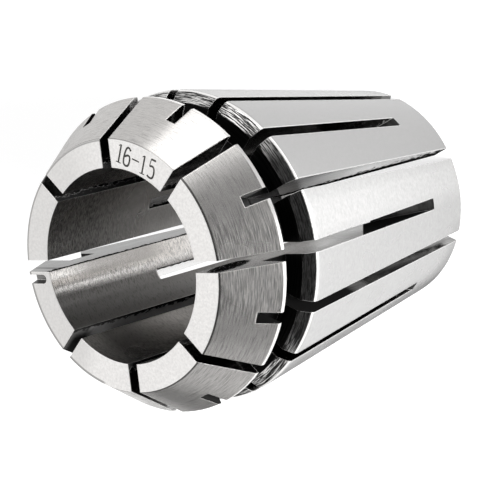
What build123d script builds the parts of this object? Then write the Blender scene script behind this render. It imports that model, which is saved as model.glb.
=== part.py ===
from build123d import *
from math import cos, radians, sqrt, tan
import os

# A spring collet for a milling chuck, in millimetres.
# It stands on its small rear end with the nose up, and the Z axis is the tool's axis.

# Body of revolution
length = 34.0
bore_radius = 8.0
gauge_radius = 13.0
taper_angle = 8.0
nose_radius = 13.0
nose_face_radius = 10.3
nose_angle = 30.0
rim_land = 0.35

# Groove that the chuck nut's ring snaps into, and the shoulder behind it
groove_radius = 10.5
groove_width = 3.1
groove_fillet = 0.3
shoulder_bevel = 0.9
shoulder_angle = 45.0
shoulder_round = 0.8

# Broken edges
rim_round = 0.3
shoulder_break = 0.15
nose_break = 0.1
mouth_chamfer = 0.15
rear_chamfer = 0.3
rear_bore_chamfer = 0.35

# Saw cuts, one set from each end
slots_per_end = 8
slot_width = 0.95
saw_radius = 31.5
saw_sink = 0.9
nose_cut_length = 29.0
rear_cut_length = 31.05

# Small round-ended notch in the nose ring, beside one slot
notch_width = 0.75
notch_depth = 1.6
notch_slot_margin = 0.24
notch_inner_radius = 8.45

# Heights of the turned profile, counted down from the nose
nose_length = (nose_radius - nose_face_radius) / tan(radians(nose_angle))
rim_height = length - nose_length
groove_top = rim_height - rim_land
groove_bottom = groove_top - groove_width

# The rounded corner of the shoulder tops out at the gauge radius, so the sharp corner lies just outside it
corner_lean = radians((shoulder_angle - taper_angle) / 2)
corner_half_turn = radians((shoulder_angle + taper_angle) / 2)
corner_radius = gauge_radius + shoulder_round * (cos(corner_lean) / cos(corner_half_turn) - 1)
corner_height = groove_bottom - shoulder_bevel / tan(radians(shoulder_angle))
shoulder_face_radius = corner_radius - shoulder_bevel
rear_radius = corner_radius - corner_height * tan(radians(taper_angle))

# Where each slot ends on the outside, and so where the saw's centre stopped
saw_centre = bore_radius - saw_sink + saw_radius
nose_cut_end = length - nose_cut_length
nose_cut_end_radius = rear_radius + nose_cut_end * tan(radians(taper_angle))
nose_cut_stop = nose_cut_end + sqrt(saw_radius**2 - (saw_centre - nose_cut_end_radius) ** 2)
rear_cut_end_radius = nose_face_radius + (length - rear_cut_length) * tan(radians(nose_angle))
rear_cut_stop = rear_cut_length - sqrt(saw_radius**2 - (saw_centre - rear_cut_end_radius) ** 2)

# The notch runs out through the nose cone, clear of the slot beside it
notch_end = notch_inner_radius + notch_width / 2
notch_offset = slot_width / 2 + notch_slot_margin + notch_width / 2

# The saw is a round disc that runs in from the nose, so its slots end in an arc
with BuildPart() as nose_saw:
    with BuildSketch(Plane.XZ):
        with Locations((saw_centre, nose_cut_stop)):
            Circle(saw_radius)
            Rectangle(2 * saw_radius, length, align=(Align.CENTER, Align.MIN))
    extrude(amount=slot_width / 2, both=True)

# The same disc runs in from the rear end
with BuildPart() as rear_saw:
    with BuildSketch(Plane.XZ):
        with Locations((saw_centre, rear_cut_stop)):
            Circle(saw_radius)
            Rectangle(2 * saw_radius, length, align=(Align.CENTER, Align.MAX))
    extrude(amount=slot_width / 2, both=True)

with BuildPart() as collet:
    # Half section of the turned and ground body
    with BuildSketch(Plane.XZ) as section:
        with BuildLine():
            Polyline(
                (bore_radius, 0),
                (rear_radius, 0),
                (corner_radius, corner_height),
                (shoulder_face_radius, groove_bottom),
                (groove_radius, groove_bottom),
                (groove_radius, groove_top),
                (nose_radius, groove_top),
                (nose_radius, rim_height),
                (nose_face_radius, length),
                (bore_radius, length),
                close=True,
            )
        make_face()
        corners = section.vertices()
        shoulder_corner = corners.sort_by_distance((corner_radius, corner_height))[0]
        shoulder_edge = corners.sort_by_distance((shoulder_face_radius, groove_bottom))[0]
        groove_foot = corners.sort_by_distance((groove_radius, groove_bottom))[0]
        groove_root = corners.sort_by_distance((groove_radius, groove_top))[0]
        rim_edge = corners.sort_by_distance((nose_radius, rim_height))[0]
        nose_edge = corners.sort_by_distance((nose_face_radius, length))[0]
        mouth_edge = corners.sort_by_distance((bore_radius, length))[0]
        rear_edge = corners.sort_by_distance((rear_radius, 0))[0]
        rear_bore_edge = corners.sort_by_distance((bore_radius, 0))[0]
        fillet(shoulder_corner, shoulder_round)
        fillet(shoulder_edge, shoulder_break)
        fillet(rim_edge, rim_round)
        fillet([groove_foot, groove_root], groove_fillet)
        chamfer(nose_edge, nose_break)
        chamfer(mouth_edge, mouth_chamfer)
        chamfer(rear_edge, rear_chamfer)
        chamfer(rear_bore_edge, rear_bore_chamfer)
    revolve(axis=Axis.Z)

    # Slots sawn from the nose, then slots from the rear end midway between them
    with PolarLocations(0, slots_per_end):
        add(nose_saw.part, mode=Mode.SUBTRACT)
    with PolarLocations(0, slots_per_end, start_angle=180 / slots_per_end):
        add(rear_saw.part, mode=Mode.SUBTRACT)

    # Notch in the nose ring
    with BuildSketch(Plane.XY.offset(length)):
        with Locations((-notch_end, -notch_offset)):
            Circle(notch_width / 2)
            Rectangle(nose_radius, notch_width, align=(Align.MAX, Align.CENTER))
    extrude(amount=-notch_depth, mode=Mode.SUBTRACT)

os.makedirs("parts", exist_ok=True)
collet.part.label = "collet"
export_step(collet.part, "parts/collet.step")
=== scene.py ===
# %% [markdown]
# # A spring collet, dressed for its picture
# A spring collet grips the shank of a milling cutter. Its long cone sits in the chuck, a nut presses on
# its short nose cone, and the saw slots let the steel close evenly round the shank. The turned and sawn
# form comes from the CAD part. This lesson gives it its finishes, its size mark, a floor, lights and a
# camera.

# %% Load the frame
import math
from collections import namedtuple

import bmesh
import bpy
from mathutils import Matrix, Vector


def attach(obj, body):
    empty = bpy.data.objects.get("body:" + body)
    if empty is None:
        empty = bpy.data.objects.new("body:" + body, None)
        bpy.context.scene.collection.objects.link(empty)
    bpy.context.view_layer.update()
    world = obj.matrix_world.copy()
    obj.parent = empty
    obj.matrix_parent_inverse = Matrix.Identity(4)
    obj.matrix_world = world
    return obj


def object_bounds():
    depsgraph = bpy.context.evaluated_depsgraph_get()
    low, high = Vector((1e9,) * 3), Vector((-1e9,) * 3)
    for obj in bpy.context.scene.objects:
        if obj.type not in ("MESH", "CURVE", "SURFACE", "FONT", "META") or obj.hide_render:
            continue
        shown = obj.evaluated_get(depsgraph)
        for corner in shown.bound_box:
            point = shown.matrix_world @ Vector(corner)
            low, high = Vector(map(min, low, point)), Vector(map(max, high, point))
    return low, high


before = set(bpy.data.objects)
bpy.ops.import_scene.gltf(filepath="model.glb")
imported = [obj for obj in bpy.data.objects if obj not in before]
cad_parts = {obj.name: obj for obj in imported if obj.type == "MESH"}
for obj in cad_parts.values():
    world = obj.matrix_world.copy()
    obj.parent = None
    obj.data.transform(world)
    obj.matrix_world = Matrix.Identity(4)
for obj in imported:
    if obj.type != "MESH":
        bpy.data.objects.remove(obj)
cad_low, cad_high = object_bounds()
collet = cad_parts["collet"]
MM = 0.001
print("collet box in mm", [round(c / MM, 2) for c in (*cad_low, *cad_high)])

# %% [markdown]
# ## Small helpers for shader nodes
# Every finish below is built from nodes in code. The first helper adds a node, sets its values and links
# its sockets. The others wrap the few kinds of node that come back again and again, so that a finish
# reads as a short recipe.


# %% Node helpers
def node(tree, kind, values=None, **settings):
    made = tree.nodes.new(kind)
    for name, value in settings.items():
        setattr(made, name, value)
    for socket, value in (values or {}).items():
        if isinstance(value, bpy.types.NodeSocket):
            tree.links.new(value, made.inputs[socket])
        else:
            made.inputs[socket].default_value = value
    return made


def maths(tree, operation, first, second, clamp=False):
    values = {0: first, 1: second}
    return node(tree, "ShaderNodeMath", values, operation=operation, use_clamp=clamp).outputs[0]


def product(tree, first, *others):
    for other in others:
        first = maths(tree, "MULTIPLY", first, other)
    return first


def vector_maths(tree, operation, first, second=(0.0, 0.0, 0.0)):
    values = {0: first, 1: second}
    return node(tree, "ShaderNodeVectorMath", values, operation=operation).outputs


def spread(tree, value, low, high, to_low=0.0, to_high=1.0):
    values = {"Value": value, "From Min": low, "From Max": high, "To Min": to_low, "To Max": to_high}
    return node(tree, "ShaderNodeMapRange", values).outputs["Result"]


def noise(tree, point, scale, detail, roughness=0.5):
    values = {"Vector": point, "Scale": scale, "Detail": detail, "Roughness": roughness}
    return node(tree, "ShaderNodeTexNoise", values).outputs[0]


print("node helpers ready")


# %% [markdown]
# ## Mixing numbers and colours
# One Mix node serves for numbers and for colours. Its sockets 2 and 3 take numbers, and 6 and 7 take
# colours.


# %% Mixing helpers
def mix(tree, factor, first, second):
    values = {0: factor, 2: first, 3: second}
    return node(tree, "ShaderNodeMix", values, data_type="FLOAT").outputs[0]


def blend(tree, factor, first, second):
    colours = [c if isinstance(c, bpy.types.NodeSocket) else (*c, 1.0) for c in (first, second)]
    values = {0: factor, 6: colours[0], 7: colours[1]}
    return node(tree, "ShaderNodeMix", values, data_type="RGBA").outputs[2]


print("mixing helpers ready")


# %% [markdown]
# ## Recipes that finishes share
# A node group is a recipe that several finishes can use, as a workshop uses one lathe for many parts.
# Each group here answers with a number or a direction, and the finish decides what to do with it.


# %% Group helpers
def start_group(name, inputs, outputs):
    tree = bpy.data.node_groups.new(name, "ShaderNodeTree")
    for label, value in inputs.items():
        socket = tree.interface.new_socket(label, in_out="INPUT", socket_type="NodeSocketFloat")
        socket.default_value = value
    for label in outputs:
        kind = "NodeSocketVector" if label == "Normal" else "NodeSocketFloat"
        tree.interface.new_socket(label, in_out="OUTPUT", socket_type=kind)
    return tree, tree.nodes.new("NodeGroupInput").outputs, tree.nodes.new("NodeGroupOutput").inputs


def end_group(tree, sockets, results):
    for label, result in results.items():
        tree.links.new(result, sockets[label])
    print("group", tree.name, "with", len(tree.nodes), "nodes")


def use_group(tree, group, values):
    return node(tree, "ShaderNodeGroup", values, node_tree=group).outputs


print("group helpers ready")


# %% [markdown]
# ## Where a point lies on the part
# The part stands on its rear end, and the Z axis is its own axis. So the marks of the lathe and the saw
# can be placed by height and by distance from the axis. The Object coordinates move with the part.

# %% Place helper
Place = namedtuple("Place", "point x y z radius")


def place_on_part(tree):
    point = node(tree, "ShaderNodeTexCoord").outputs["Object"]
    x, y, z = node(tree, "ShaderNodeSeparateXYZ", {0: point}).outputs
    flat = node(tree, "ShaderNodeCombineXYZ", {0: x, 1: y}).outputs[0]
    return Place(point, x, y, z, vector_maths(tree, "LENGTH", flat)["Value"])


print("a place has", Place._fields)

# %% [markdown]
# ## Marks that run round the axis
# A turned or ground surface carries fine lines round the axis. They come from stretched noise: it
# changes fast along the profile and slowly round the circle. Feeding it the sine and cosine of the
# angle, and not the angle itself, leaves no seam where the circle closes.

# %% Ring marks group
ring_inputs = {"Lines per metre": 9000.0, "Breaks": 5.0, "Detail": 3.0}
ring_marks, ring_in, ring_out = start_group("ring_marks", ring_inputs, ["Marks"])
here = place_on_part(ring_marks)
profile = maths(ring_marks, "SUBTRACT", here.z, here.radius)
along = product(ring_marks, profile, ring_in["Lines per metre"])
cosine = product(ring_marks, maths(ring_marks, "DIVIDE", here.x, here.radius), ring_in["Breaks"])
sine = product(ring_marks, maths(ring_marks, "DIVIDE", here.y, here.radius), ring_in["Breaks"])
stretched = node(ring_marks, "ShaderNodeCombineXYZ", {0: along, 1: cosine, 2: sine}).outputs[0]
rings = noise(ring_marks, stretched, scale=1.0, detail=ring_in["Detail"], roughness=0.6)
end_group(ring_marks, ring_out, {"Marks": rings})

# %% [markdown]
# ## Marks that run along a slot
# A slitting saw leaves long scratches in its direction of travel. The noise changes fast from the bore
# outwards and slowly along the slot.

# %% Saw marks group
saw_inputs = {"Lines per metre": 6000.0, "Run": 260.0}
saw_marks, saw_in, saw_out = start_group("saw_marks", saw_inputs, ["Marks"])
here = place_on_part(saw_marks)
across = product(saw_marks, here.radius, saw_in["Lines per metre"])
run = product(saw_marks, here.z, saw_in["Run"])
side = product(saw_marks, maths(saw_marks, "ADD", here.x, here.y), saw_in["Run"])
stretched = node(saw_marks, "ShaderNodeCombineXYZ", {0: across, 1: run, 2: side}).outputs[0]
scratches = noise(saw_marks, stretched, scale=1.0, detail=4.0, roughness=0.65)
end_group(saw_marks, saw_out, {"Marks": scratches})

# %% [markdown]
# ## Fine grain and soft clouds
# Even a ground face is not one tone: it has a fine grain, and broad soft patches from handling and oil.

# %% Grain group
CLOUDS_PER_METRE = 220.0
grain, grain_in, grain_out = start_group("grain", {"Grains per metre": 7000.0}, ["Grain", "Cloud"])
point = node(grain, "ShaderNodeTexCoord").outputs["Object"]
fine = noise(grain, point, scale=grain_in["Grains per metre"], detail=2.0)
broad = noise(grain, point, scale=CLOUDS_PER_METRE, detail=2.0)
end_group(grain, grain_out, {"Grain": fine, "Cloud": broad})

# %% [markdown]
# ## Broken edges
# Deburring leaves every edge narrow and rounded, and it catches the light as a thin bright line. The Bevel
# node looks round each edge and answers with a rounded normal, which catches real light. Where that
# differs from the surface's own normal there is an edge, and the difference makes a mask. There each
# finish paints its bright edge colour as well: a painted highlight.

# %% Edge line group
EDGE_BEGINS = 0.03
EDGE_FULL = 0.16
BEVEL_SAMPLES = 6
edge_line, edge_in, edge_out = start_group("edge_line", {"Width": 0.1 * MM}, ["Edge", "Normal"])
bevel = node(edge_line, "ShaderNodeBevel", {"Radius": edge_in["Width"]}, samples=BEVEL_SAMPLES)
rounded = bevel.outputs[0]
surface = node(edge_line, "ShaderNodeNewGeometry").outputs["Normal"]
agree = vector_maths(edge_line, "DOT_PRODUCT", rounded, surface)["Value"]
edge_mask = spread(edge_line, maths(edge_line, "SUBTRACT", 1.0, agree), EDGE_BEGINS, EDGE_FULL)
end_group(edge_line, edge_out, {"Edge": edge_mask, "Normal": rounded})

# %% [markdown]
# ## Painted shade at the bore edge
# Where a saw cut breaks into the bore, a ragged line of the slot wall is painted black: painted shade at
# the bore edge. The radius of each point of the slot wall says how near it is to the bore, and noise
# makes the border of the dark line uneven. On the slots that lie above the near one in the picture, the
# line grows wider towards the rear end. The near slot has no thin line of its own.

# %% Thin line of painted shade
BORE_RADIUS = 8.0 * MM
BORE_SHADE_NOISE = 2600.0
NOISE_SPAN = (0.35, 0.65)
UNEVEN_WIDTH = (0.45, 1.4)
LINE_BORDER = (0.85, 1.1)
REAR_GROWTH, FRONT_GROWTH = 2.4, 0.3
bore_edge_shade, bore_shade_in, bore_shade_out = start_group("bore_edge_shade", {"Width": 0.2 * MM}, ["Shade mask"])
# Painted shade: a thin ragged black line on the slot walls where they meet the bore.
here = place_on_part(bore_edge_shade)
above = spread(bore_edge_shade, here.y, 1.0 * MM, 1.5 * MM)
towards_camera = spread(bore_edge_shade, here.x, 5.0 * MM, 6.0 * MM)
growth = spread(bore_edge_shade, here.z, 2.0 * MM, 24.0 * MM, REAR_GROWTH, FRONT_GROWTH)
wider = maths(bore_edge_shade, "ADD", 1.0, product(bore_edge_shade, above, towards_camera, growth))
ragged = noise(bore_edge_shade, here.point, scale=BORE_SHADE_NOISE, detail=4.0)
uneven = spread(bore_edge_shade, ragged, *NOISE_SPAN, *UNEVEN_WIDTH)
reach = product(bore_edge_shade, uneven, bore_shade_in["Width"], wider)
depth = maths(bore_edge_shade, "SUBTRACT", here.radius, BORE_RADIUS)
line = spread(bore_edge_shade, maths(bore_edge_shade, "DIVIDE", depth, reach), *LINE_BORDER, 1.0, 0.0)
off_centre = maths(bore_edge_shade, "ABSOLUTE", here.y, 0.0)
near_slot = product(
    bore_edge_shade,
    spread(bore_edge_shade, here.x, 7.0 * MM, 7.4 * MM),
    spread(bore_edge_shade, off_centre, 1.0 * MM, 1.5 * MM, 1.0, 0.0),
)
thin = product(bore_edge_shade, line, maths(bore_edge_shade, "SUBTRACT", 1.0, near_slot))
print("thin burr line uses", len(bore_edge_shade.nodes), "nodes")

# %% [markdown]
# ## The dark lens and the black end of the near slot
# On one wall of the near slot, close to the nose, a wide lens is painted black as shade. A Mapping node
# turns a ball into that lens, and fine noise eats away its border. Towards the slot's end the walls are
# painted black below a line that leans outwards: a painted shadow.

# %% Dark lens and slot end
LENS_CENTRE = (9.0 * MM, -0.475 * MM, 31.2 * MM)
LENS_SIZE = (1.0 * MM, 0.30 * MM, 2.7 * MM)
LENS_LEAN = (0.0, math.radians(11.5), 0.0)
LENS_BORDER = (1.55, 1.65)
LENS_NOISE_SCALE = 7000.0
LENS_NOISE_DEPTH = 1.1
SPECK_SPAN = (0.33, 0.37)
END_LEAN = 1.33
END_LINE = (1.55 * MM, 1.70 * MM)
END_DEPTH = 0.96
# Painted shade: a dark lens on one wall of the near slot.
lens_values = {"Vector": here.point, "Location": LENS_CENTRE, "Rotation": LENS_LEAN, "Scale": LENS_SIZE}
lens_point = node(bore_edge_shade, "ShaderNodeMapping", lens_values, vector_type="TEXTURE").outputs[0]
lens = vector_maths(bore_edge_shade, "LENGTH", lens_point)["Value"]
lens_noise = noise(bore_edge_shade, here.point, scale=LENS_NOISE_SCALE, detail=3.0)
lens = maths(bore_edge_shade, "ADD", lens, product(bore_edge_shade, lens_noise, LENS_NOISE_DEPTH))
specks = spread(bore_edge_shade, lens_noise, *SPECK_SPAN)
wide = product(bore_edge_shade, spread(bore_edge_shade, lens, *LENS_BORDER, 1.0, 0.0), specks)
# Painted shadow: the near slot's walls turn black below a leaning line.
leaning = maths(bore_edge_shade, "SUBTRACT", here.z, product(bore_edge_shade, here.radius, END_LEAN))
below_line = spread(bore_edge_shade, leaning, *END_LINE, END_DEPTH, 0.0)
slot_end = product(bore_edge_shade, near_slot, below_line)
black_parts = maths(bore_edge_shade, "MAXIMUM", thin, wide)
black_parts = maths(bore_edge_shade, "MAXIMUM", black_parts, slot_end)
end_group(bore_edge_shade, bore_shade_out, {"Shade mask": black_parts})

# %% [markdown]
# ## A patch on a round face
# Tone changes from place to place, and patches also paint light and shade into the colour: bright
# reflection bands in the bore beside a slot, and fingers lighter or darker as their reflections are. An
# angle round the axis, a height and a radius place each patch. Each of them has a middle, a half width and
# a fade, which makes the border soft.

# %% Patch group
SPANS = ("angle", "height", "radius")
PATCH_LABELS = [f"{part} {span}" for span in SPANS for part in ("Middle", "Half", "Fade of")]
patch, patch_in, patch_out = start_group("patch", dict.fromkeys(PATCH_LABELS, 0.0), ["Patch"])
here = place_on_part(patch)
angle = maths(patch, "ARCTAN2", here.y, here.x)
inside = 1.0
for value, span in zip((angle, here.z, here.radius), SPANS):
    from_middle = maths(patch, "SUBTRACT", value, patch_in["Middle " + span])
    off = maths(patch, "ABSOLUTE", from_middle, 0.0)
    past = maths(patch, "SUBTRACT", off, patch_in["Half " + span])
    faded = maths(patch, "DIVIDE", past, patch_in["Fade of " + span])
    inside = product(patch, inside, maths(patch, "SUBTRACT", 1.0, faded, clamp=True))
end_group(patch, patch_out, {"Patch": inside})

# %% [markdown]
# ## Naming a patch
# Angles are written in degrees and lengths in millimetres, as on a drawing. A patch of tone and painted
# light has its own grey and gloss, and covers the dark lines less than the bright ones. A shade is a
# painted dark line that lies over the bright edge line too. A slot shade is a place painted black as shade.
# The wide span called everywhere leaves a height or a radius free.

# %% Patch helpers
EVERYWHERE = (0.0, 1000.0, 1.0)
ToneAndPaintedLight = namedtuple("ToneAndPaintedLight", "place grey cover gloss")
Shade = namedtuple("Shade", "place grey depth")
SlotShade = namedtuple("SlotShade", "place depth")


def patch_at(angle, half, fade, height=EVERYWHERE, radius=EVERYWHERE):
    turns = [math.radians(degrees) for degrees in (angle, half, fade)]
    lengths = [millimetres * MM for millimetres in (*height, *radius)]
    return dict(zip(PATCH_LABELS, turns + lengths))


print("a patch is placed by", PATCH_LABELS)


# %% [markdown]
# ## What tone, painted light, edges and painted shade do to a finish
# Each of these takes the colour and gloss so far and answers with the next. The steel is a warm grey, so
# each grey loses a little green and more blue. A place painted black as shade is not bare metal any more:
# it is matt and dark, and its Metallic value falls to nothing.

# %% Layers of a finish
GREEN_LOSS, BLUE_LOSS = 0.012, 0.024
BLACK = 0.008
BLACK_ROUGHNESS = 0.9
TONE_LINES = (0.35, 0.6)


def warm(grey, warmth):
    return grey, grey * (1 - GREEN_LOSS * warmth), grey * (1 - BLUE_LOSS * warmth)


def add_tone_and_light(tree, colour, gloss, lines, patches, warmth):
    for toned in patches:
        cover = use_group(tree, patch, toned.place)["Patch"]
        gloss = mix(tree, cover, gloss, toned.gloss)
        cover = product(tree, cover, spread(tree, lines, *TONE_LINES, toned.cover, 1.0))
        colour = blend(tree, cover, colour, warm(toned.grey, warmth))
    return colour, gloss


def add_shades(tree, colour, shades, warmth):
    for shade in shades:
        cover = product(tree, use_group(tree, patch, shade.place)["Patch"], shade.depth)
        colour = blend(tree, cover, colour, warm(shade.grey, warmth))
    return colour


def add_black(tree, colour, gloss, bore_shade, slot_shades, warmth):
    # Thin lines and slot places painted black as shade.
    black = use_group(tree, bore_edge_shade, {"Width": bore_shade})["Shade mask"]
    for slot_dark in slot_shades:
        cover = product(tree, use_group(tree, patch, slot_dark.place)["Patch"], slot_dark.depth)
        black = maths(tree, "MAXIMUM", black, cover)
    shader = tree.nodes["Principled BSDF"]
    tree.links.new(maths(tree, "SUBTRACT", 1.0, black), shader.inputs["Metallic"])
    shader.inputs["Specular IOR Level"].default_value = 0.0
    return blend(tree, black, colour, warm(BLACK, warmth)), mix(tree, black, gloss, BLACK_ROUGHNESS)


print("layers ready, black is", warm(BLACK, 1.0))


# %% [markdown]
# ## Any steel finish
# All the finishes are the same steel and differ in tone, gloss and marks. The marks blend a dark grey
# with a light one and also drive the bump. Clouds change the gloss, and a darker speckle comes from the
# grain. Long lines make the gloss long and thin across them, which the anisotropic value of the shader
# gives, with its tangent running round Z.

# %% Steel helper
CLOUD_SPAN = (0.3, 0.7)
SPECKLE_SHARE = 0.6
ROUND_THE_AXIS = 0.25


def steel(
    name, dark, light, edge, rough, marks, bump, edge_width, stretch=0.0, mark_span=(0.3, 0.7), bore_shade=0.0,
    tone_and_light=(), shades=(), slot_shades=(), grains=7000.0, speckle=0.1, warmth=1.0,
):
    material = bpy.data.materials.new(name)
    material.use_nodes = True
    tree = material.node_tree
    shader = tree.nodes["Principled BSDF"]
    shader.inputs["Metallic"].default_value = 1.0
    lines = use_group(tree, *marks)["Marks"]
    tone = use_group(tree, grain, {"Grains per metre": grains})
    colour = blend(tree, spread(tree, lines, *mark_span), warm(dark, warmth), warm(light, warmth))
    gloss = spread(tree, tone["Cloud"], *CLOUD_SPAN, *rough)
    # Patches of tone, and of light and shade painted into the colour.
    colour, gloss = add_tone_and_light(tree, colour, gloss, lines, tone_and_light, warmth)
    speckled = spread(tree, tone["Grain"], *NOISE_SPAN, speckle, 0.0)
    colour = blend(tree, speckled, colour, warm(dark * SPECKLE_SHARE, warmth))
    rim = use_group(tree, edge_line, {"Width": edge_width})
    # The edge colour is a painted highlight along each edge; the rounded normal also catches real light.
    colour = blend(tree, rim["Edge"], colour, warm(edge, warmth))
    # Thin dark lines painted as shade.
    colour = add_shades(tree, colour, shades, warmth)
    # Places painted black as shade.
    if bore_shade:
        colour, gloss = add_black(tree, colour, gloss, bore_shade, slot_shades, warmth)
    tree.links.new(colour, shader.inputs["Base Color"])
    tree.links.new(gloss, shader.inputs["Roughness"])
    bumps = node(tree, "ShaderNodeBump", {"Distance": bump, "Height": lines, "Normal": rim["Normal"]})
    tree.links.new(bumps.outputs[0], shader.inputs["Normal"])
    if stretch:
        shader.inputs["Anisotropic"].default_value = stretch
        shader.inputs["Anisotropic Rotation"].default_value = ROUND_THE_AXIS
        tangent = node(tree, "ShaderNodeTangent", direction_type="RADIAL", axis="Z")
        tree.links.new(tangent.outputs[0], shader.inputs["Tangent"])
    print("finish", name, "with", len(tree.nodes), "nodes")
    return material


# %% [markdown]
# ## Ground steel
# The two cones are cylindrically ground. That is bright steel with fine lines round the axis, so each
# finish names how many lines there are to the metre, and how often they break on the way round. The long
# taper is the calmest. The nose cone has coarser lines of stronger contrast.

# %% Cones
MICRON = 0.001 * MM


def turned(lines, breaks, detail=3.0):
    return ring_marks, {"Lines per metre": lines, "Breaks": breaks, "Detail": detail}


body_steel = steel(
    "ground_taper", dark=0.54, light=0.60, edge=0.97, rough=(0.22, 0.30), marks=turned(9000, breaks=30),
    bump=0.3 * MICRON, edge_width=0.22 * MM, stretch=0.4, grains=3600.0, speckle=0.12, warmth=0.5,
    tone_and_light=[
        # Painted shade: the finger between 22.5 and 67.5 degrees is darker, as its reflection is.
        ToneAndPaintedLight(patch_at(45, 22.3, 0.4), grey=0.445, cover=1.0, gloss=0.24),
        # Painted highlight: a lighter zone round 10 degrees, where the steel reflects a bright spot.
        ToneAndPaintedLight(patch_at(10, 4, 9, height=(26, 10, 40)), grey=0.75, cover=0.6, gloss=0.26),
    ],
)
nose_steel = steel(
    "brushed_nose_cone", dark=0.39, light=1.0, edge=0.97, rough=(0.24, 0.32),
    marks=turned(11500, breaks=9, detail=2.0), mark_span=(0.38, 0.62),
    bump=1.6 * MICRON, edge_width=0.14 * MM, stretch=0.5, warmth=2.0,
    tone_and_light=[
        # These patches turn the bright lines towards a mid grey: calmer marks, and painted shade that dims
        # the reflections there.
        ToneAndPaintedLight(patch_at(102, 57, 3), grey=0.68, cover=0.4, gloss=0.27),
        ToneAndPaintedLight(patch_at(33, 10, 12), grey=0.71, cover=0.5, gloss=0.27),
        ToneAndPaintedLight(patch_at(-58, 30, 12), grey=0.74, cover=0.30, gloss=0.27),
    ],
    shades=[
        # Painted shade: thin dark lines along the top of the nose cone, where it meets the face.
        Shade(patch_at(102, 57, 1, height=(33.99, 0.07, 0.05)), grey=0.22, depth=0.6),
        Shade(patch_at(-48, 93, 1, height=(33.97, 0.10, 0.05)), grey=0.08, depth=0.9),
    ],
)

# %% [markdown]
# ## The nose face and the bore
# The nose face is lapped, which leaves it paler and softer than the cones. The bore is honed, so it is a
# dark mirror with fine lines. Its bright bands beside the slots and its brighter mouth and rear end are
# painted reflections, and a darker stretch is painted shade.

# %% Face and bore
face_steel = steel(
    "lapped_nose_face", dark=0.86, light=0.98, edge=1.0, rough=(0.38, 0.48), marks=turned(7000, breaks=60),
    bump=1.0 * MICRON, edge_width=0.18 * MM, grains=4200.0, speckle=0.22, warmth=1.4,
    tone_and_light=[
        ToneAndPaintedLight(patch_at(160, 40, 30), grey=0.77, cover=0.7, gloss=0.45),
        ToneAndPaintedLight(patch_at(-160, 34, 10), grey=0.76, cover=0.7, gloss=0.45),
    ],
    shades=[
        # Painted shade: thin dark lines near the face's outer edge.
        Shade(patch_at(141, 49, 2, radius=(10.21, 0.05, 0.04)), grey=0.36, depth=0.8),
        Shade(patch_at(-150, 40, 2, radius=(10.2, 0.08, 0.04)), grey=0.30, depth=0.8),
    ],
)
bore_steel = steel(
    "honed_bore", dark=0.155, light=0.46, edge=0.90, rough=(0.24, 0.32),
    marks=turned(8500, breaks=22, detail=2.0), mark_span=(0.36, 0.64),
    bump=3.0 * MICRON, edge_width=0.10 * MM, stretch=0.8, warmth=2.0,
    tone_and_light=[
        # All these patches paint light and shade: bright reflection bands beside the slots, a brighter
        # mouth and rear end, and painted shade round -136 degrees.
        ToneAndPaintedLight(patch_at(-136, 17, 14), grey=0.25, cover=0.32, gloss=0.28),
        ToneAndPaintedLight(patch_at(148, 32, 10, height=(16, 5, 8)), grey=0.62, cover=0.8, gloss=0.28),
        ToneAndPaintedLight(patch_at(-122, 12, 5, height=(17, 6, 6)), grey=0.84, cover=0.6, gloss=0.28),
        ToneAndPaintedLight(patch_at(-118, 14, 8, height=(33.6, 0.8, 1.6)), grey=0.62, cover=0.5, gloss=0.28),
        ToneAndPaintedLight(patch_at(-175, 9, 6), grey=1.0, cover=0.50, gloss=0.17),
        ToneAndPaintedLight(patch_at(-172.5, 3.0, 2.5, height=(25.5, 3.5, 3)), grey=0.55, cover=0.5, gloss=0.20),
        ToneAndPaintedLight(patch_at(-165.5, 2.5, 2, height=(9, 3.5, 3)), grey=0.50, cover=0.8, gloss=0.26),
        ToneAndPaintedLight(patch_at(0, 14, 1), grey=0.97, cover=0.55, gloss=0.20),
        ToneAndPaintedLight(patch_at(25, 45, 5, height=(2, 4, 2)), grey=0.97, cover=0.8, gloss=0.24),
    ],
)

# %% [markdown]
# ## Sawn steel
# The slot walls keep the saw's long scratches and a dull heat-treated tone. Parts of some walls are
# painted black as shade, and a few places on them are painted lighter or darker for the light they
# reflect. The arc at each slot's end is nearly black, because light hardly reaches it.


# %% Slot walls and slot ends
def sawn(lines, run):
    return saw_marks, {"Lines per metre": lines, "Run": run}


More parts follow.
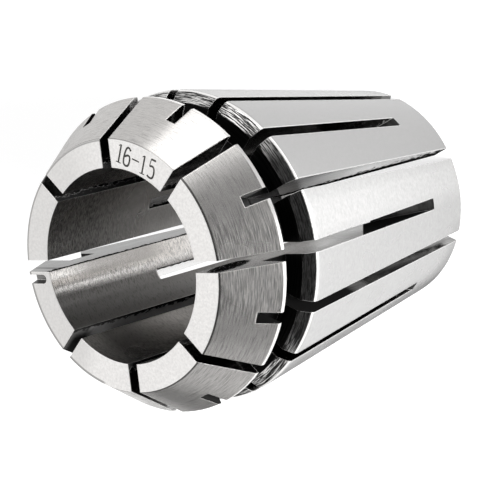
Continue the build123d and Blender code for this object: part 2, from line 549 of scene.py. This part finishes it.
slot_steel = steel(
    "sawn_slot_wall", dark=0.12, light=0.50, edge=0.92, rough=(0.10, 0.16), marks=sawn(9000, run=300),
    bump=1.5 * MICRON, edge_width=0.10 * MM, bore_shade=0.50 * MM,
    tone_and_light=[
        # These patches paint light and shade: darker places as painted shade, lighter places round 0 and
        # -158 degrees as painted light.
        ToneAndPaintedLight(patch_at(-135, 9, 1), grey=0.20, cover=0.6, gloss=0.4),
        ToneAndPaintedLight(patch_at(-173.2, 4.5, 0.5, height=(32.4, 0.2, 0.1)), grey=0.22, cover=1.0, gloss=0.3),
        ToneAndPaintedLight(patch_at(0, 8, 1, height=(22, 5, 4)), grey=0.75, cover=0.7, gloss=0.2),
        ToneAndPaintedLight(patch_at(-158, 7, 1, height=(17, 5, 3)), grey=0.97, cover=1.0, gloss=0.2),
    ],
    # Painted shade: these places on the slot walls are painted black where they lie in shade.
    slot_shades=[
        SlotShade(patch_at(-22.5, 6, 1, height=(25.5, 7, 3)), depth=1.0),
        SlotShade(patch_at(22.5, 6, 1, height=(31, 2, 0.5)), depth=0.9),
        SlotShade(patch_at(112.5, 6, 1, height=(31, 2.5, 0.5)), depth=1.0),
        SlotShade(patch_at(-67.5, 6, 1, height=(31, 2.5, 0.5)), depth=1.0),
        SlotShade(patch_at(-135, 9, 1), depth=0.18),
        SlotShade(patch_at(0, 8, 1, height=(14.5, 3.5, 4)), depth=0.12),
        SlotShade(patch_at(-135, 9, 1, height=(34, 2, 1)), depth=0.85),
    ],
)
floor_steel = steel(
    "sawn_slot_floor", dark=0.008, light=0.05, edge=0.4, rough=(0.30, 0.40), marks=sawn(3000, run=500),
    bump=3.0 * MICRON, edge_width=0.06 * MM,
)

# %% [markdown]
# ## The groove and the edges
# The groove is rough turned and black from hardening, with bright lines where the tool's ridges were
# rubbed. Its floor lies in shade. Chamfers and rounded corners are deburred, and their near-white colour
# adds a painted highlight to the light they catch. A few facets of the nose edge are painted dark: a thin
# line of painted shade where the cone meets the face.

# %% Groove and edges
groove_steel = steel(
    "black_turned_groove", dark=0.016, light=0.90, edge=0.9, rough=(0.22, 0.34),
    marks=turned(9000, breaks=9), mark_span=(0.47, 0.61), bump=7.0 * MICRON, edge_width=0.08 * MM,
    # Painted shade: the groove's bright lines turn dark round 0 degrees.
    tone_and_light=[ToneAndPaintedLight(patch_at(0, 34, 12), grey=0.05, cover=0.25, gloss=0.4)],
)
floor_black = steel(
    "black_groove_floor", dark=0.006, light=0.03, edge=0.4, rough=(0.45, 0.6), marks=turned(9000, breaks=4),
    bump=6.0 * MICRON, edge_width=0.03 * MM,
)
edge_steel = steel(
    "broken_edge_painted_highlight", dark=0.90, light=1.0, edge=1.0, rough=(0.20, 0.30), marks=turned(8000, breaks=12),
    bump=1.0 * MICRON, edge_width=0.05 * MM,
    tone_and_light=[ToneAndPaintedLight(patch_at(30, 14, 8, height=(29.5, 0.8, 0.4)), grey=0.45, cover=0.8, gloss=0.3)],
)
shaded_nose_edge = steel(
    "nose_edge_painted_shade", dark=0.28, light=0.42, edge=0.40, rough=(0.30, 0.40), marks=turned(8000, breaks=12),
    bump=1.0 * MICRON, edge_width=0.03 * MM,
)

# %% [markdown]
# ## One finish for each machined face
# One piece of steel has many finishes, one for each operation that made it. Each facet of the CAD mesh is
# sorted by the way it faces and by its height, as a machinist would name the faces on a drawing. Only its
# material number is set, so the form stays as the CAD made it.

# %% Name the faces
finishes = [body_steel, nose_steel, face_steel, bore_steel, slot_steel, floor_steel]
finishes += [groove_steel, floor_black, edge_steel, shaded_nose_edge]
BODY, NOSE, FACE, BORE, SLOT, SLOT_FLOOR, GROOVE, GROOVE_FLOOR, EDGE, SHADED_NOSE_EDGE = range(len(finishes))

# Heights in millimetres at which one face gives way to the next, from the rear end up
REAR_FACE, REAR_EDGE = 0.1, 0.4
NOSE_SLOTS_END, REAR_SLOTS_END = 14, 20
SHOULDER, GROOVE_FOOT, GROOVE_ROOF, RIM = 24.5, 25.8, 28.96, 29.5
NOTCH_FOOT, NOTCH_FLOOR = 32, 33
NOSE_EDGE, NOSE_FACE = 33.7, 33.9

# Distances from the axis in millimetres
BORE_WALL, MOUTH_EDGE, SLOT_ARC, GROOVE_WALL = 8.2, 9, 12, 12.2

# How far a facet faces up, inwards or sideways, where 1 is straight that way
LEVEL, INWARDS, SIDEWAYS = 0.95, 0.9, 0.6
CONE_LEAN, SHOULDER_LEAN, BEVEL_LEAN = (0.4, 0.6), 0.45, 0.2
print("kinds of face:", len(finishes))


# %% Sort the facets
def face_kind(centre, normal):
    x, y, z = centre / MM
    reach = math.hypot(x, y)
    outward = (normal.x * x + normal.y * y) / reach
    sideways = (normal.y * x - normal.x * y) / reach
    in_notch = z > NOTCH_FOOT and -1.5 < y < -0.6 and x < -BORE_WALL
    notch_wall = 32.5 < z < 33.9 and normal.z < 0.2 and outward < 0.5
    faces_up = z < NOSE_SLOTS_END and normal.z > 0.1 and outward > 0.3
    faces_down = z > REAR_SLOTS_END and -0.62 < normal.z < -0.2 and reach < SLOT_ARC
    if in_notch and notch_wall:
        return SLOT_FLOOR
    if abs(sideways) > SIDEWAYS or (in_notch and z < NOTCH_FLOOR):
        return SLOT
    if faces_up or faces_down:
        return SLOT_FLOOR
    if outward < -INWARDS and reach < BORE_WALL:
        return BORE
    if abs(normal.z) > LEVEL and (z > NOSE_FACE or z < REAR_FACE):
        return FACE
    if z > NOSE_EDGE:
        return SHADED_NOSE_EDGE if reach > MOUTH_EDGE else EDGE
    if z > RIM:
        return NOSE if outward > 0 and CONE_LEAN[0] < normal.z < CONE_LEAN[1] else EDGE
    if z > GROOVE_ROOF:
        return EDGE if outward > 0.5 else GROOVE_FLOOR
    if z > GROOVE_FOOT and (reach < GROOVE_WALL or normal.z > LEVEL):
        return GROOVE_FLOOR
    if z > SHOULDER and normal.z > BEVEL_LEAN:
        return GROOVE if normal.z > SHOULDER_LEAN else EDGE
    return BODY if z > REAR_EDGE and outward > 0 else EDGE


collet.data.materials.clear()
for finish in finishes:
    collet.data.materials.append(finish)
count = [0] * len(finishes)
for facet in collet.data.polygons:
    kind = face_kind(facet.center, facet.normal)
    facet.material_index = kind
    count[kind] += 1
print("facets for each finish:", dict(zip([f.name for f in finishes], count)))

# %% [markdown]
# ## The size mark
# The clamping range is engraved on one segment of the nose ring, in thin dark figures. Each figure is
# drawn as a few strokes along a curve, in units of its own height, and given a fine round section.

# %% Strokes of each figure
MARK_HEIGHT = 1.50 * MM
MARK_STROKE = 0.085 * MM
THICK, MIDDLING, THIN = 1.0, 0.7, 0.5
six = [(0.18, 0.88), (0.08, 1.02), (-0.11, 1.00), (-0.21, 0.62), (-0.21, 0.10)]
six += [(-0.02, -0.03), (0.20, 0.06), (0.22, 0.54), (0.02, 0.63), (-0.17, 0.46)]
belly = [(-0.15, 0.60), (0.08, 0.68), (0.22, 0.48), (0.21, 0.06), (0.0, -0.06), (-0.22, 0.06)]
strokes = {
    "1": [
        ("POLY", THIN, [(-0.14, 0.90), (0.0, 1.0)]),
        ("POLY", THICK, [(0.0, 1.0), (0.0, 0.0)]),
        ("POLY", THIN, [(-0.17, 0.0), (0.17, 0.0)]),
    ],
    "6": [("NURBS", THICK, six)],
    "-": [("POLY", MIDDLING, [(-0.24, 0.53), (0.27, 0.53)])],
    "5": [
        ("POLY", THICK, [(0.22, 1.0), (-0.10, 1.0)]),
        ("POLY", THIN, [(-0.10, 1.0), (-0.15, 0.60)]),
        ("NURBS", THICK, belly),
    ],
}
figure_places = [("1", -2.05), ("6", -1.26), ("-", -0.38), ("1", 0.50), ("5", 1.35)]
print("figures:", "".join(figure for figure, place in figure_places))

# %% Draw the figures
mark_curve = bpy.data.curves.new("size_mark", "CURVE")
mark_curve.dimensions = "3D"
mark_curve.bevel_depth = MARK_STROKE
mark_curve.bevel_resolution = 1
mark_curve.resolution_u = 6
mark_curve.use_fill_caps = True
for figure, place in figure_places:
    for form, weight, path in strokes[figure]:
        stroke = mark_curve.splines.new(form)
        stroke.points.add(len(path) - 1)
        for dot, (across_mark, up_mark) in zip(stroke.points, path):
            dot.co = (place * MM + across_mark * MARK_HEIGHT, up_mark * MARK_HEIGHT, 0, 1)
            dot.radius = weight
        if form == "NURBS":
            stroke.order_u = 3
            stroke.use_endpoint_u = True
print("size mark strokes:", len(mark_curve.splines))

# %% [markdown]
# ## The dark of the engraving
# Oil and dirt stay in an engraved line, so it is nearly black and matt, and its tone wavers with the
# grain.

# %% Engraved dark
INK_DARK = (0.012, 0.012, 0.011)
INK_LIGHT = (0.05, 0.048, 0.045)
INK_GLOSS = (0.5, 0.7)
mark_dark = bpy.data.materials.new("engraved_mark")
mark_dark.use_nodes = True
ink = mark_dark.node_tree
shader = ink.nodes["Principled BSDF"]
ink_tone = use_group(ink, grain, {"Grains per metre": 9000.0})
ink_colour = blend(ink, spread(ink, ink_tone["Grain"], *NOISE_SPAN), INK_DARK, INK_LIGHT)
ink.links.new(ink_colour, shader.inputs["Base Color"])
ink.links.new(spread(ink, ink_tone["Cloud"], *CLOUD_SPAN, *INK_GLOSS), shader.inputs["Roughness"])
shader.inputs["Specular IOR Level"].default_value = 0.1
print("finish", mark_dark.name, "with", len(ink.nodes), "nodes")

# %% [markdown]
# ## Laying the mark in the nose face
# The figures are turned to their segment and flattened almost into the face, so they read as engraving.
# The mark rides on the collet's body, as the real one does.

# %% Lay the figures on the nose face
MARK_RING = 8.26 * MM
MARK_ANGLE = 67.5
FLATTENED = 0.12
drawn = bpy.data.objects.new("size_mark_drawn", mark_curve)
bpy.context.scene.collection.objects.link(drawn)
bpy.context.view_layer.update()
mark_mesh = bpy.data.meshes.new_from_object(drawn.evaluated_get(bpy.context.evaluated_depsgraph_get()))
bpy.data.objects.remove(drawn)
turn = Matrix.Rotation(math.radians(MARK_ANGLE - 90), 4, "Z")
sink = Matrix.Diagonal((1, 1, FLATTENED, 1))
mark_mesh.transform(turn @ Matrix.Translation((0, MARK_RING, cad_high.z)) @ sink)
mark = bpy.data.objects.new("size_mark", mark_mesh)
bpy.context.scene.collection.objects.link(mark)
mark_mesh.materials.clear()
mark_mesh.materials.append(mark_dark)
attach(mark, "root")
print("mark spans in mm", [round(d / MM, 2) for d in mark.dimensions])

# %% [markdown]
# ## The floor
# The photograph has a plain white ground. A pale floor keeps a soft shadow. Polished steel is a mirror,
# so what it shows of the floor matters as much as the floor itself. A dark card beside the part and the
# part's own contact shadow are there for reflections only.

# %% Floor sheet
FLOOR_HALF_WIDTH = 3.0
FLOOR_GAP = 0.02 * MM
floor_mesh = bpy.data.meshes.new("floor")
shape = bmesh.new()
bmesh.ops.create_grid(shape, x_segments=1, y_segments=1, size=FLOOR_HALF_WIDTH)
shape.to_mesh(floor_mesh)
shape.free()
floor = bpy.data.objects.new("floor", floor_mesh)
floor.location.z = -FLOOR_GAP
bpy.context.scene.collection.objects.link(floor)
print("floor is", round(floor.dimensions.x, 1), "m wide")

# %% [markdown]
# ## The dark places that reflections see
# The card is a round dark area beside the part, and the floor also darkens far off on the same side. The
# contact shadow lies beside the rear end and fades out a little way from the part. Each is a mask from 0
# to 1.

# %% Card and contact shadow
CARD_CENTRE = (-0.040, -0.085, 0.0)
CARD_BORDER = (0.020, 0.050)
FAR_BORDER = (-0.27, -0.16)
FAR_DEPTH = 0.85
SHADOW_POINT = (0.0005, -0.0185, 0.0)
SHADOW_SIDE = (-0.86, 0.51, 0.0)
SHADOW_BORDER = (-0.0005, 0.0010)
SHADOW_FADE = (0.024, 0.034)
SHADOW_DEPTH = 0.7
floor_white = bpy.data.materials.new("floor_white")
floor_white.use_nodes = True
tree = floor_white.node_tree
place = node(tree, "ShaderNodeTexCoord").outputs["Object"]
floor_x, floor_y, _ = node(tree, "ShaderNodeSeparateXYZ", {0: place}).outputs
from_card = vector_maths(tree, "DISTANCE", place, CARD_CENTRE)["Value"]
card = spread(tree, from_card, *CARD_BORDER, 1.0, 0.0)
card = maths(tree, "MAXIMUM", card, spread(tree, floor_y, *FAR_BORDER, FAR_DEPTH, 0.0))
from_axis = vector_maths(tree, "LENGTH", place)["Value"]
past_line = vector_maths(tree, "SUBTRACT", place, SHADOW_POINT)["Vector"]
past_line = vector_maths(tree, "DOT_PRODUCT", past_line, SHADOW_SIDE)["Value"]
shadow = product(
    tree,
    spread(tree, past_line, *SHADOW_BORDER),
    spread(tree, from_axis, *SHADOW_FADE, SHADOW_DEPTH, 0.0),
    spread(tree, floor_y, -0.006, -0.002, 1.0, 0.0),
    spread(tree, floor_x, -0.018, -0.012),
)
print("floor masks use", len(tree.nodes), "nodes")


# %% [markdown]
# ## White where it is seen
# The floor's own colour is lifted for the rays that the camera and the polished steel send out, so it
# reads as white without more lamps. The patch of floor that is seen through the bore is lifted most: a
# painted pool of light that only the steel's reflections see.

# %% Floor white
FLOOR_GREY = (0.32, 0.32, 0.32)
CARD_GREY = (0.03, 0.03, 0.03)
SEEN_LIFT = 0.76
BORE_LIFT, FLOOR_LIFT = 0.84, 0.42
BORE_BORDER = (0.0085, 0.0095)
rays = node(tree, "ShaderNodeLightPath").outputs
seen = maths(tree, "MAXIMUM", rays["Is Camera Ray"], rays["Is Transmission Ray"])
dark = product(tree, maths(tree, "MAXIMUM", card, shadow), rays["Is Glossy Ray"])
# Painted light: the floor under the bore glows brighter in the steel's reflections.
mirrored = spread(tree, from_axis, *BORE_BORDER, BORE_LIFT, FLOOR_LIFT)
mirrored = product(tree, mirrored, maths(tree, "SUBTRACT", 1.0, dark))
mirrored = product(tree, rays["Is Glossy Ray"], mirrored)
lift = maths(tree, "ADD", product(tree, seen, SEEN_LIFT), mirrored)
shader = tree.nodes["Principled BSDF"]
shader.inputs["Roughness"].default_value = 0.9
shader.inputs["Specular IOR Level"].default_value = 0.0
shader.inputs["Emission Color"].default_value = (1, 1, 1, 1)
tree.links.new(blend(tree, dark, FLOOR_GREY, CARD_GREY), shader.inputs["Base Color"])
tree.links.new(lift, shader.inputs["Emission Strength"])
floor_mesh.materials.append(floor_white)
print("floor wears", floor_white.name)

# %% [markdown]
# ## The backdrop
# The world is the white room round the table. The camera sees it as pure white, and for everything else
# it grows darker towards one side, which gives the steel its dark reflections.

# %% World
DARK_SIDE = Vector((1.0, -0.14, 0.2)).normalized()
ROOM_BORDER = (0.20, 0.60)
ROOM_BRIGHT, ROOM_DARK = 0.98, 0.24
world = bpy.data.worlds.new("studio")
bpy.context.scene.world = world
world.use_nodes = True
tree = world.node_tree
rays = node(tree, "ShaderNodeLightPath").outputs
seen = maths(tree, "MAXIMUM", rays["Is Camera Ray"], rays["Is Transmission Ray"])
direction = node(tree, "ShaderNodeTexCoord").outputs["Generated"]
towards = vector_maths(tree, "DOT_PRODUCT", direction, DARK_SIDE)["Value"]
room = spread(tree, towards, *ROOM_BORDER, ROOM_BRIGHT, ROOM_DARK)
background = tree.nodes["Background"]
background.inputs["Color"].default_value = (1, 1, 1, 1)
tree.links.new(mix(tree, seen, room, 1.0), background.inputs["Strength"])
print("world", world.name, "with", len(tree.nodes), "nodes")

# %% [markdown]
# ## The lamps
# Two soft boxes light the part. The key stands in front and above and gives the soft shadow, but isn't
# seen in the steel. The side box does the opposite: it draws the long highlights and lights nothing by
# itself.


# %% Lamps
def soft_box(name, towards_lamp, distance, width, height, power):
    lamp = bpy.data.lights.new(name, "AREA")
    lamp.shape = "RECTANGLE"
    lamp.size = width
    lamp.size_y = height
    lamp.energy = power
    box = bpy.data.objects.new(name, lamp)
    heading = Vector(towards_lamp).normalized()
    box.location = middle + heading * distance
    box.rotation_mode = "QUATERNION"
    box.rotation_quaternion = heading.to_track_quat("Z", "Y")
    bpy.context.scene.collection.objects.link(box)
    return box


middle = (cad_low + cad_high) / 2
key = soft_box("key_box", (0.90, -0.14, 0.40), distance=0.17, width=0.09, height=0.09, power=1.2)
key.visible_glossy = False
key.visible_camera = False
side_box = soft_box("side_box", (0.15, 0.97, 0.14), distance=0.5, width=0.32, height=0.24, power=0.42)
side_box.visible_diffuse = False

# %% [markdown]
# ## Camera
# The camera's place was found by fitting the slot corners that the photograph shows. It looks steeply
# down on the nose, from the side of one slot, through a long lens, and is rolled so that the axis runs
# to the right.

# %% Camera
SENSOR_WIDTH = 36.0
LENS_IN_PIXELS = 2469.16
PICTURE_WIDTH = 500
camera = bpy.data.objects.new("camera", bpy.data.cameras.new("camera"))
camera.data.sensor_width = SENSOR_WIDTH
camera.data.lens = LENS_IN_PIXELS / PICTURE_WIDTH * SENSOR_WIDTH
camera.data.clip_start = 0.01
camera.data.clip_end = 20.0
right = Vector((0.76473541, -0.1177514, -0.63349377))
down = Vector((0.00021248, -0.98311401, 0.18299398))
ahead = Vector((-0.6443444, -0.14007658, -0.75179708))
stand = Matrix.Translation((0.134937, 0.027689, 0.175351))
camera.matrix_world = stand @ Matrix((right, -down, -ahead)).transposed().to_4x4()
bpy.context.scene.collection.objects.link(camera)
bpy.context.scene.camera = camera
bpy.context.scene.view_settings.view_transform = "Standard"
print("camera at", [round(c, 4) for c in camera.location], "lens", round(camera.data.lens, 1))

# %% [markdown]
# ## Bring the scene up to date
# The dressed part has to fill the same box as the CAD part. The view layer is brought up to date here.

# %% Update the view layer
bpy.context.view_layer.update()
